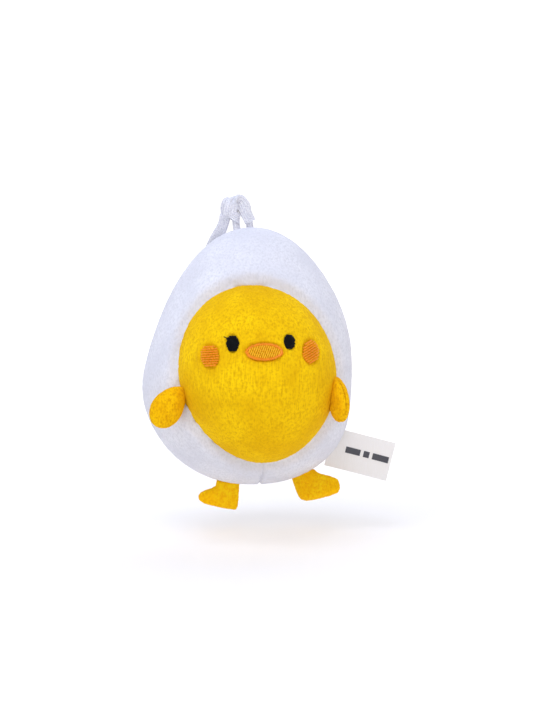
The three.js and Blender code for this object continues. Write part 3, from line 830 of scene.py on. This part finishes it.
def stitches(middle, size, turn, step_size, longest, lift, ragged=0.12):
    """Rows of arched stitches that fill an oval on the belly, as strips for swept()."""
    half = np.array(size) / 2
    way = np.array((math.cos(turn), math.sin(turn)))
    step = np.array((-way[1], way[0]))
    reach = half.max()
    strips = []
    for row, offset in enumerate(np.arange(-reach, reach, step_size)):
        along = np.linspace(-reach * 1.1, reach * 1.1, 200)
        line = step * offset + along[:, None] * way
        inside = np.hypot(line[:, 0] / half[0], line[:, 1] / half[1]) < 1
        if inside.sum() < 4:
            continue
        start, stop = along[inside].min(), along[inside].max()
        start -= chance.uniform(0, ragged) * MM
        stop += chance.uniform(0, ragged) * MM
        count = max(1, math.ceil((stop - start) / longest))
        cuts = np.linspace(start, stop, count + 1)
        cuts[1:-1] += longest * 0.3 * (row % 3 - 1)
        for a, b in zip(cuts, cuts[1:]):
            t = np.linspace(0, 1, 7)
            flat = np.array(middle) + step * offset + (a + (b - a) * t)[:, None] * way
            arch = np.sin(math.pi * t) ** 0.5 * 1.15 - 0.55
            rise = lift * arch + chance.uniform(-0.04, 0.04) * MM
            depth = dome_forward(flat[:, 0], flat[:, 1]) - rise
            route = np.column_stack([flat[:, 0] + BELLY_CENTRE.x, depth, flat[:, 1] + BELLY_CENTRE.z])
            strips.append((route, (step[0], 0, step[1]), oval(THREAD, THREAD * 0.75, 6)))
    return strips


def embroidered(name, strips, finish):
    """One embroidered patch as a finished piece on the toy."""
    made = swept(name + "_stitches", strips)
    made.data.materials.append(finish)
    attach(made, "toy")
    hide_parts(name)
    return made


# Each thread's own colour is given as a painted highlight colour and a painted shade colour across the
# twist.
BLACK_THREAD = thread("black rayon thread", "0C0C10", "020203", gloss=0.15)
ORANGE_THREAD = thread("orange rayon thread", "FF9C10", "EE8404")
AMBER_THREAD = thread("amber rayon thread", "FFC91C", "F9AA12")

for name in ("eye_left", "eye_right"):
    across, rise, wide, high = FACE[name]
    middle = (across * MM, rise * MM)
    turn = math.radians(-8) if name == "eye_right" else 0
    strips = stitches(middle, (wide * MM, high * MM), turn, 0.42 * MM, 9 * MM, 0.5 * MM, 0.4)
    if name == "eye_left":  # a cut thread end left standing at its upper left
        tail = spaced(
            [
                (middle[0] - 1.2 * MM, middle[1] + 1.6 * MM, 0.4 * MM),
                (middle[0] - 2.0 * MM, middle[1] + 1.9 * MM, 0.9 * MM),
                (middle[0] - 2.9 * MM, middle[1] + 2.3 * MM, 1.0 * MM),
            ],
            9,
        )
        depth = dome_forward(tail[:, 0], tail[:, 1]) - tail[:, 2]
        route = np.column_stack([tail[:, 0] + BELLY_CENTRE.x, depth, tail[:, 1] + BELLY_CENTRE.z])
        strips.append((route, (0, 0, 1), oval(0.35 * MM, 0.35 * MM, 6)))
    embroidered(name, strips, BLACK_THREAD)

for name, turn in (("cheek_left", 4), ("cheek_right", 28)):
    across, rise, wide, high = FACE[name]
    strips = stitches(
        (across * MM, rise * MM),
        (wide * MM, high * MM),
        math.radians(turn),
        0.78 * MM,
        1.5 * MM,
        0.45 * MM,
        0.3,
    )
    embroidered(name, strips, ORANGE_THREAD)

across, rise, wide, high = FACE["beak"]
BEAK_BORDER = 0.65 * MM
inner = (wide * MM - 2 * BEAK_BORDER, high * MM - 2 * BEAK_BORDER)
strips = stitches(
    (across * MM, rise * MM), inner, math.radians(68), 0.68 * MM, 2.2 * MM, 0.42 * MM, 0.3
)
embroidered("beak_fill", strips, AMBER_THREAD)

strips = []
around = np.linspace(0, 2 * math.pi, 58, endpoint=False)
for k, a in enumerate(around):
    slant = a + 0.12
    t = np.linspace(0, 1, 5)
    ragged = 1 + chance.uniform(-0.02, 0.05)
    outer = np.array((wide / 2 * math.cos(a), high / 2 * math.sin(a))) * MM * ragged
    within = np.array((inner[0] / 2 * math.cos(slant), inner[1] / 2 * math.sin(slant)))
    flat = outer + (within - outer) * t[:, None] + np.array((across, rise)) * MM
    lift = 0.5 * MM * (np.sin(math.pi * t) ** 0.5 * 1.2 - 0.5)
    depth = dome_forward(flat[:, 0], flat[:, 1]) - lift
    route = np.column_stack([flat[:, 0] + BELLY_CENTRE.x, depth, flat[:, 1] + BELLY_CENTRE.z])
    strips.append((route, (-math.sin(a), 0, math.cos(a)), oval(THREAD, THREAD * 0.8, 6)))
embroidered("beak_outline", strips, ORANGE_THREAD)

# ---------- Wings ----------
# Each is two leaf shapes of yellow plush, sewn edge to edge, turned and lightly filled. Its root
# is caught between the belly and the white cover, and the wing flaps about that seam.

hinges = {joint["name"]: Vector(joint["pos_m"]) for joint in frame["joints"]}
WING_LENGTH = 18 * MM
WING_WIDTH = 12.6 * MM
WING_THICKNESS = 6.4 * MM
WING_BURIED = 2.2 * MM
WING_SEAM_DEPTH = 0.55 * MM
WING_SEAM_REACH = 0.8 * MM
LIMB_PLUSH = 1 * MM
# Its third colour is painted shade between the tufts; its first is also a painted highlight in lighter
# patches.
WING_PLUSH = plush("golden plush", "FFCC06", "F4B902", "DC9A00", streak=1.5, blotch=6, sheen=0.1)


def reshaped(piece, matrix):
    """Turns and places the mesh of a piece, and leaves its object at the origin."""
    piece.data.transform(matrix)
    piece.data.update()


limb_places = {}
for side, turn, lean in (("left", 207, 50), ("right", -72, 65)):
    bpy.ops.mesh.primitive_uv_sphere_add(segments=48, ring_count=32, radius=1)
    wing = bpy.context.object
    reshaped(wing, Matrix.Rotation(math.pi / 2, 4, "Y"))
    leaf = spots(wing)
    leaf[:, 2] *= 1 + 0.2 * leaf[:, 0] - 0.1 * leaf[:, 0] ** 2
    leaf *= np.array((WING_LENGTH / 2, WING_THICKNESS / 2, WING_WIDTH / 2)) - 0.3 * MM
    leaf[:, 0] += WING_LENGTH / 2 - WING_BURIED
    set_spots(wing, leaf)
    stuffed(wing, np.abs(leaf[:, 1]) < 0.02 * MM, pressure=5, cap=0.6 * MM)
    leaf = spots(wing)
    groove = WING_SEAM_DEPTH * np.exp(-((leaf[:, 1] / WING_SEAM_REACH) ** 2))
    set_spots(wing, leaf - normals(wing) * groove[:, None])
    stance = Euler((0, math.radians(lean), math.radians(turn)), "XYZ").to_matrix().to_4x4()
    place = Matrix.Translation(hinges[f"wing_{side}_flap"]) @ stance
    limb_places[f"wing_{side}"] = place
    outward_face = 1 if side == "left" else -1
    for face, sign in (("front", outward_face), ("back", -outward_face)):
        piece = panel(wing, f"wing_{side}_{face}_plush", lambda at: at[:, 1] * sign > 0)
        finish_modifier(piece, "SOLIDIFY", thickness=LIMB_PLUSH, offset=-1)
        reshaped(piece, place)
        finish_modifier(piece, "SUBSURF", levels=2, render_levels=2)
        piled(piece, 1.0 * MM, 0.3 * MM)
        piece.data.materials.append(WING_PLUSH)
        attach(piece, f"wing_{side}")
        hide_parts(f"wing_{side}_{face}")
    bpy.data.objects.remove(wing)

# ---------- Feet ----------
# Each is a boot shape cut twice from yellow plush, sewn round its edge and thinly filled, so it
# stays flat. The ankle is caught in the seam under the egg.

FOOT_THICKNESS = 4.6 * MM
FOOT_VOXEL = 0.3 * MM
# Its third colour is painted shade between the tufts; its first is also a painted highlight in lighter
# patches.
FOOT_PLUSH = plush("amber plush", "FFD312", "FFC407", "F4AC03", streak=1.2, blotch=6, sheen=0.1)
FOOT_OUTLINES = {  # in mm, round each boot from the top of its heel
    "left": [
        (-0.2, 0.6), (0, -3), (0.2, -6), (0.5, -9), (1.2, -10.4), (3.4, -10.1),
        (6.5, -9.5), (10, -8.7), (12.8, -7.9), (14.6, -6.6), (14.9, -5.2), (13.9, -3.9),
        (12.1, -3.1), (10.2, -2.6), (8.4, -1.6), (8.1, 0.6), (4, 0.6),
    ],
    "right": [
        (-0.8, -0.6), (-0.6, -3), (0, -6), (0.5, -8.4), (1.4, -10), (3.2, -10.8),
        (6, -10.8), (9, -10.4), (12.4, -9.9), (15.2, -9.2), (16.0, -8), (16.0, -6.2),
        (15.6, -4.6), (13.2, -3.2), (10.6, -2.2), (8.6, -1.2), (7.6, 0.2), (3.6, 0.6),
    ],
}

FOOT_MIRROR = {"foot_left": -1, "foot_right": 1}
for side, tip, roll in (("left", 0, 0), ("right", -24, -6)):
    mirror = FOOT_MIRROR[f"foot_{side}"]
    stance = Matrix.Rotation(math.radians(tip), 4, "X") @ Matrix.Rotation(math.radians(roll), 4, "Y")
    place = Matrix.Translation(hinges[f"foot_{side}_swing"]) @ stance
    limb_places[f"foot_{side}"] = place
    outline = np.array(FOOT_OUTLINES[side]) * MM * (mirror, 1)
    for face, sign in (("top", -1), ("sole", 1)):
        bpy.ops.mesh.primitive_circle_add(vertices=len(outline), radius=1, fill_type="NGON")
        foot = bpy.context.object
        foot.name = f"foot_{side}_{face}_plush"
        set_spots(foot, np.column_stack([outline[:, 0], np.full(len(outline), 0.0), outline[:, 1]]))
        bpy.ops.object.mode_set(mode="EDIT")
        bpy.ops.mesh.select_all(action="SELECT")
        bpy.ops.mesh.extrude_region_move(
            TRANSFORM_OT_translate={"value": (0, sign * FOOT_THICKNESS * 0.3, 0)}
        )
        bpy.ops.mesh.inset(thickness=0.4 * MM, depth=0)
        bpy.ops.transform.translate(value=(0, sign * FOOT_THICKNESS * 0.12, 0))
        bpy.ops.mesh.inset(thickness=0.7 * MM, depth=0)
        bpy.ops.transform.translate(value=(0, sign * FOOT_THICKNESS * 0.07, 0))
        bpy.ops.mesh.select_all(action="SELECT")
        bpy.ops.mesh.normals_make_consistent(inside=False)
        bpy.ops.object.mode_set(mode="OBJECT")
        finish_modifier(foot, "REMESH", mode="VOXEL", voxel_size=FOOT_VOXEL)
        finish_modifier(foot, "SMOOTH", factor=0.5, iterations=9)
        reshaped(foot, place)
        finish_modifier(foot, "SUBSURF", levels=1, render_levels=1)
        piled(foot, 0.9 * MM, 0.25 * MM)
        foot.data.materials.append(FOOT_PLUSH)
        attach(foot, f"foot_{side}")
        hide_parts(f"foot_{side}_{face}")

# ---------- Strap hitch ----------
# The same ribbon, passed through the crown loop, folded back over it and pulled tight. Its
# turns lie crumpled on each other, over the front and the back of the cord.

HITCH_TURNS = [  # route points in mm, the way its width lies, width and thickness in mm
    (
        [
            (-5.0, 1.0, -3.6), (-5.3, 0.2, -1.8), (-5.4, -0.8, 0.3), (-4.7, -1.6, 2.1),
            (-3.0, -1.7, 3.0), (-1.2, -0.6, 3.3), (0.3, 1.0, 2.6),
        ],
        (0.8, -0.35, 0.3),
        3.7,
        1.8,
    ),
    (
        [
            (-4.0, -1.4, -2.8), (-3.8, -2.3, -0.7), (-3.0, -2.8, 1.3), (-1.6, -2.8, 2.4),
            (-0.1, -2.5, 1.8), (0.9, -2.3, 0.0), (1.9, -1.9, -2.2), (3.4, -1.2, -5.2),
        ],
        (0.85, -0.25, 0.45),
        4.8,
        1.9,
    ),
    (
        [
            (-4.2, 1.9, -2.6), (-3.9, 2.6, 0.0), (-2.8, 2.6, 2.0), (-0.8, 2.3, 2.6),
            (1.0, 1.9, 1.3), (2.0, 1.5, -1.2), (3.1, 1.0, -4.6),
        ],
        (0.7, 0.4, 0.5),
        3.8,
        1.8,
    ),
    (
        [
            (-5.4, 0.2, -0.9), (-4.0, -1.4, -2.0), (-2.4, -2.0, -3.0), (-1.1, -1.2, -4.0),
            (-1.3, 0.8, -4.0), (-2.6, 2.2, -3.2), (-4.2, 2.4, -2.1),
        ],
        (0.1, -0.3, 0.95),
        3.2,
        1.5,
    ),
]
strips = []
for points, across, wide, thick in HITCH_TURNS:
    route = spaced(np.array(points) * MM, 28)
    swell = 1 + 0.12 * np.sin(np.linspace(0, 5, 28))
    section = ribbon_section(wide * MM, thick * MM, 5)
    strips.append((route, across, section[None] * swell[:, None, None]))
hitch = swept("strap_hitch_ribbon", strips)
hitch.data.materials.append(WHITE_CORD)
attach(hitch, "toy")
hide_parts("strap_hitch")

# ---------- Sewn-in label ----------
# A strip of woven satin tape, folded in half with its ends caught in the side seam. Its print is
# given here as plain bars, with no letters.

LABEL_LENGTH = 23.6 * MM
LABEL_WIDTH = 14.3 * MM
LABEL_BURIED = 2.2 * MM
LABEL_DROOP = math.radians(15)
PLY_GAP = 0.22 * MM  # from the middle of the fold to each ply
PRINT_BARS = ((4.0, 9.6), (10.8, 13.0), (14.2, 20.2))  # in mm from the seam
label_hinge = hinges["label_fold"]

# Woven satin: a smooth face with a faint sheen and fine threads along its length.
tape, tree, out = material("satin tape")
place = node(tree, "TexCoord").outputs["Object"]
threads = node(tree, "Mapping", {"Vector": place}, Scale=(1, 1, 0.12))
threads.inputs["Rotation"].default_value = (0, LABEL_DROOP, 0)
weft = node(tree, "TexNoise", {"Vector": threads.outputs["Vector"]}, Scale=1 / (0.3 * MM), Detail=2)
mix = node(tree, "Mix", {"Factor": weft.outputs["Fac"]}, data_type="RGBA")
mix.inputs[6].default_value, mix.inputs[7].default_value = linear("ECE8E2"), linear("F2F0EE")
bump = node(tree, "Bump", {"Height": weft.outputs["Fac"]}, Strength=0.15, Distance=0.1 * MM)
satin = node(
    tree,
    "BsdfPrincipled",
    {"Base Color": mix.outputs[2], "Normal": bump.outputs["Normal"]},
    Roughness=0.4,
)
satin.inputs["Sheen Weight"].default_value = 0.2
tree.links.new(satin.outputs["BSDF"], out.inputs["Surface"])

t = np.linspace(0, 1, 40)
label_place = Matrix.Translation(label_hinge) @ Matrix.Rotation(LABEL_DROOP, 4, "Y")
run = -LABEL_BURIED + t * (LABEL_LENGTH - 0.4 * MM)
curl = 0.9 * MM * np.sin(t * 2.6) - 1.1 * MM * t**3
apart = PLY_GAP + 0.12 * MM * np.sin(t * math.pi)
front_ply = np.column_stack([run, curl - apart, run * 0])
back_ply = np.column_stack([run, curl + apart, run * 0])[::-1]
fold = np.array([[run[-1] + 0.3 * MM, curl[-1], 0]])
folded = np.vstack([front_ply, fold, back_ply])
bar_section = np.array([(-1, -1), (1, -1), (1, 1), (-1, 1)])
label = swept(
    "side_label_tape",
    [(spaced(folded, 120), (0, 0, 1), bar_section * (LABEL_WIDTH / 2, 0.1 * MM))],
)
reshaped(label, label_place)
label.data.materials.append(tape)
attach(label, "label")
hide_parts("side_label")

strips = []
for start, stop in PRINT_BARS:
    bar_run = np.linspace(start, stop, 12) * MM
    tape_depth = np.interp(bar_run, run, curl)
    bar_route = np.column_stack([bar_run, tape_depth - 0.46 * MM, bar_run * 0 + 0.4 * MM])
    strips.append((bar_route, (0, 0, 1), bar_section * (1.15 * MM, 0.03 * MM)))
# Screen-printed ink, dull and a little greyed by the weave.
ink, tree, out = material("black ink")
printed = node(tree, "BsdfPrincipled", Roughness=0.55, Base_Color=linear("4A4A50"))
tree.links.new(printed.outputs["BSDF"], out.inputs["Surface"])
label_print = swept("side_label_print", strips)
reshaped(label_print, label_place)
label_print.data.materials.append(ink)
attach(label_print, "label")

# ---------- Closing seam ----------
# Seven ladder stitches of sewing thread across the back seam, low down, where the stuffing
# went in.

close_low, close_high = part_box("closing_thread")
strips = []
for k, height in enumerate(np.linspace(close_low.z + 1.2 * MM, close_high.z - 1.2 * MM, 7)):
    t = np.linspace(-1, 1, 9)
    share = (height - EGG_CENTRE.z) / EGG_HALF.z
    reach = EGG_HALF.y * egg_share(share) / EGG_WIDEST
    x = EGG_CENTRE.x + sag(height) + 1.5 * MM * t
    y = reach - (1.0 + 0.7 * t**4) * MM
    strips.append(
        (np.column_stack([x, y, height + 0.5 * MM * t]), (0, 0, 1), oval(0.45 * MM, 0.4 * MM, 6))
    )
closing = swept("closing_stitches", strips)
# The sewing thread's own colour is given as a painted highlight colour and a painted shade colour across
# the twist.
closing.data.materials.append(thread("white sewing thread", "F2F2F4", "CFCFD6", 0.3))
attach(closing, "toy")
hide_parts("closing_thread")

# ---------- Stuffing ----------
# Crimped polyester fibre in loose curls. It fills the body, the wings and the feet, and shows
# only where a seam opens.

# Loose white fibre: matt, with soft shadows between its curls.
fibre, tree, out = material("polyester fibrefill")
place = node(tree, "TexCoord").outputs["Object"]
curls = node(tree, "TexNoise", {"Vector": place}, Scale=1 / (1.5 * MM), Detail=5, Distortion=2)
mix = node(tree, "Mix", {"Factor": curls.outputs["Fac"]}, data_type="RGBA")
mix.inputs[6].default_value, mix.inputs[7].default_value = linear("D8D8DC"), linear("FFFFFF")
bump = node(tree, "Bump", {"Height": curls.outputs["Fac"]}, Strength=0.7, Distance=0.5 * MM)
fluff = node(
    tree,
    "BsdfPrincipled",
    {"Base Color": mix.outputs[2], "Normal": bump.outputs["Normal"]},
    Roughness=0.9,
)
fluff.inputs["Sheen Weight"].default_value = 0.4
tree.links.new(fluff.outputs["BSDF"], out.inputs["Surface"])


def lumpy(piece, lump, depth):
    """Presses a ball of stuffing into soft lumps."""
    piled(piece, lump, depth)
    piece.data.materials.append(fibre)


bpy.ops.mesh.primitive_uv_sphere_add(segments=48, ring_count=32, radius=1)
body_stuffing = bpy.context.object
body_stuffing.name = "body_stuffing"
set_spots(body_stuffing, egg_shaped(spots(body_stuffing), 4 * MM))
bpy.ops.mesh.primitive_uv_sphere_add(segments=48, ring_count=32, radius=1)
belly_stuffing = bpy.context.object
set_spots(belly_stuffing, belly_shaped(spots(belly_stuffing), 3.2 * MM))
body_stuffing.select_set(True)
bpy.context.view_layer.objects.active = body_stuffing
bpy.ops.object.join()
lumpy(body_stuffing, 6 * MM, 1.2 * MM)
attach(body_stuffing, "toy")
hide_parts("body_filling")

for limb in ("wing_left", "wing_right", "foot_left", "foot_right"):
    bpy.ops.mesh.primitive_uv_sphere_add(segments=24, ring_count=16, radius=1)
    wad = bpy.context.object
    wad.name = limb + "_stuffing"
    if limb.startswith("wing"):
        size = (WING_LENGTH * 0.33, WING_THICKNESS * 0.26, WING_WIDTH * 0.34)
        middle = (WING_LENGTH / 2 - WING_BURIED, 0, 0)
    else:
        size = (4.6 * MM, 1.1 * MM, 2.2 * MM)
        middle = (FOOT_MIRROR[limb] * 6.2 * MM, 0, -6.8 * MM)
    set_spots(wad, spots(wad) * size + middle)
    reshaped(wad, limb_places[limb])
    lumpy(wad, 2.5 * MM, 0.3 * MM)
    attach(wad, limb)
    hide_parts(limb + "_filling")
